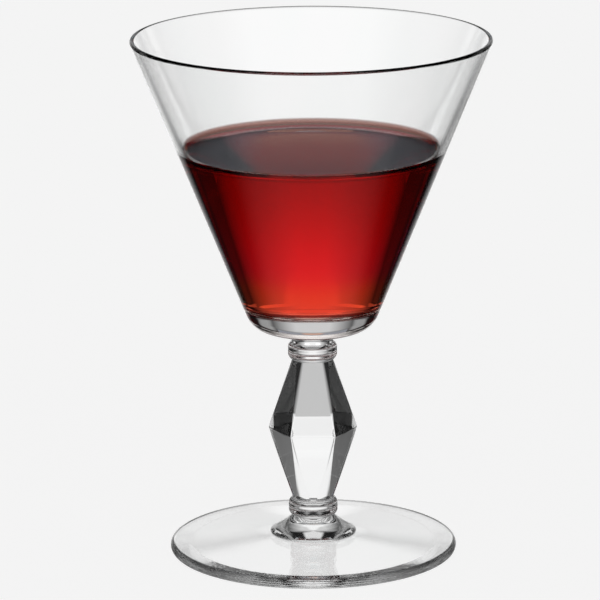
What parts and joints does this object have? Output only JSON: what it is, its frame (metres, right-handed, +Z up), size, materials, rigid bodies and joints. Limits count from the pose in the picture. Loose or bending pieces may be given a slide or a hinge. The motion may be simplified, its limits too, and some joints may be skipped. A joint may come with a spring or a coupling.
{
  "type": "nick and nora glass",
  "caption": "Small stemmed cocktail glass with a conical bowl, a six-sided stem between round collars, a flared button on a flat round foot, and a red drink in the bowl.",
  "frame": {"origin": "centre of the foot, on the plane that the glass stands on", "axes": "+Z up along the axis of the glass from the foot to the rim, and -Y square to one facet of the stem"},
  "size_m": [0.084, 0.084, 0.1228],
  "materials": {
    "clear_glass": "clear colourless glass, fire-polished, with crisp facets on the stem",
    "red_drink": "clear red liquid, orange where it is thin and dark maroon where it is deep"
  },
  "bodies": {
    "root": {"foot": "clear_glass", "foot_button": "clear_glass", "lower_collar": "clear_glass", "faceted_stem": "clear_glass", "upper_collar": "clear_glass", "bowl": "clear_glass", "drink": "red_drink"}
  },
  "joints": []
}
